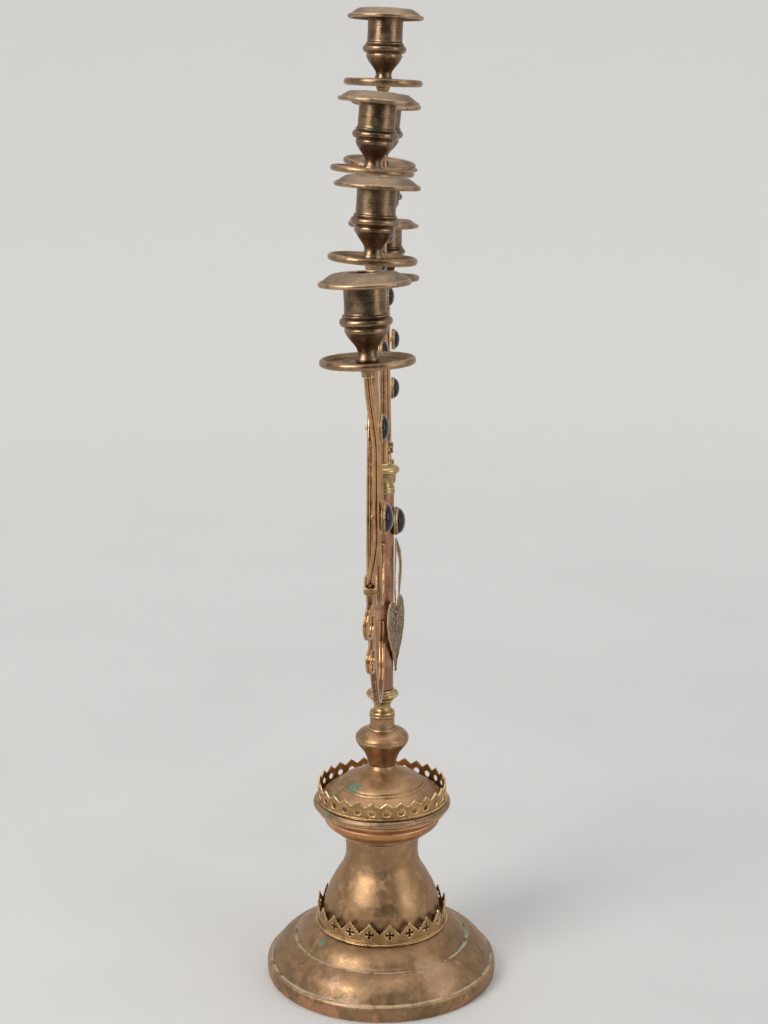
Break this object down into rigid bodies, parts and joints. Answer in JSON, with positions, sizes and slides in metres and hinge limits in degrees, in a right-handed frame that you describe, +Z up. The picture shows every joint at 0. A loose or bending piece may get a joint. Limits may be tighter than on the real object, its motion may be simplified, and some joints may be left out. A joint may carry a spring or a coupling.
{
  "type": "candelabrum",
  "caption": "Church candelabrum: round spun foot, pierced galleries, turned stem and a fan of reeded arms with glass jewels, drip pans and candle sockets.",
  "frame": {"origin": "on the stem's axis at the underside of the foot", "axes": "+Z up along the stem, -Y to the front with the jewels and the leaf, X along the fan of arms, left arms at -X"},
  "size_m": [0.5906, 0.1766, 0.7316],
  "materials": {
    "bronze": "patinated bronze-brown, satin, worn on the raised edges",
    "copper": "red-brown copper tone, satin, patinated",
    "brass": "yellow brass, satin, dark in the recesses",
    "band": "golden-brown gilded brass, glossy ribs",
    "leaf": "stamped, dull grey-brown brass",
    "steel": "dull steel",
    "stone": "near-black purple glass, polished"
  },
  "bodies": {
    "stand": {"foot": "bronze", "foot_gallery": "brass", "bell": "bronze", "lip": "copper", "lip_gallery": "brass", "dome": "bronze", "knop": "bronze", "neck_collar": "brass", "tie_rod": "steel", "tie_washer": "steel", "tie_nut": "steel", "stem_tube": "copper", "top_collar": "brass", "upper_stem": "band", "leaf": "leaf", "leaf_stalk": "brass", "jewel_centre": "stone", "outer_arm_left": "band", "middle_arm_left": "band", "inner_arm_left": "band", "outer_link_left": "band", "inner_link_left": "band", "scroll_left": "band", "clip_left": "brass", "jewel_left_1": "stone", "jewel_left_2": "stone", "jewel_left_3": "stone", "jewel_left_4": "stone", "outer_arm_right": "band", "middle_arm_right": "band", "inner_arm_right": "band", "outer_link_right": "band", "inner_link_right": "band", "scroll_right": "band", "clip_right": "brass", "jewel_right_1": "stone", "jewel_right_2": "stone", "jewel_right_3": "stone", "jewel_right_4": "stone", "pan_top": "bronze", "cup_top": "bronze", "pan_left_inner": "bronze", "cup_left_inner": "bronze", "pan_left_middle": "bronze", "cup_left_middle": "bronze", "pan_left_outer": "bronze", "cup_left_outer": "bronze", "pan_right_inner": "bronze", "cup_right_inner": "bronze", "pan_right_middle": "bronze", "cup_right_middle": "bronze", "pan_right_outer": "bronze", "cup_right_outer": "bronze"},
    "candle_ring_top": {"bobeche_top": "bronze"},
    "candle_ring_left_inner": {"bobeche_left_inner": "bronze"},
    "candle_ring_left_middle": {"bobeche_left_middle": "bronze"},
    "candle_ring_left_outer": {"bobeche_left_outer": "bronze"},
    "candle_ring_right_inner": {"bobeche_right_inner": "bronze"},
    "candle_ring_right_middle": {"bobeche_right_middle": "bronze"},
    "candle_ring_right_outer": {"bobeche_right_outer": "bronze"}
  },
  "joints": [
    {"name": "lift_top", "type": "slide", "parent": "stand", "child": "candle_ring_top", "axis": [0, -0.0349, 0.9994], "range_m": [0, 0.03]},
    {"name": "lift_left_inner", "type": "slide", "parent": "stand", "child": "candle_ring_left_inner", "axis": [0, -0.0872, 0.9962], "range_m": [0, 0.03]},
    {"name": "lift_left_middle", "type": "slide", "parent": "stand", "child": "candle_ring_left_middle", "axis": [0, -0.0645, 0.9979], "range_m": [0, 0.03]},
    {"name": "lift_left_outer", "type": "slide", "parent": "stand", "child": "candle_ring_left_outer", "axis": [0, 0.0401, 0.9992], "range_m": [0, 0.03]},
    {"name": "lift_right_inner", "type": "slide", "parent": "stand", "child": "candle_ring_right_inner", "axis": [-0.104, -0.1045, 0.9891], "range_m": [0, 0.03]},
    {"name": "lift_right_middle", "type": "slide", "parent": "stand", "child": "candle_ring_right_middle", "axis": [0, -0.0349, 0.9994], "range_m": [0, 0.03]},
    {"name": "lift_right_outer", "type": "slide", "parent": "stand", "child": "candle_ring_right_outer", "axis": [0, 0, 1], "range_m": [0, 0.03]}
  ]
}
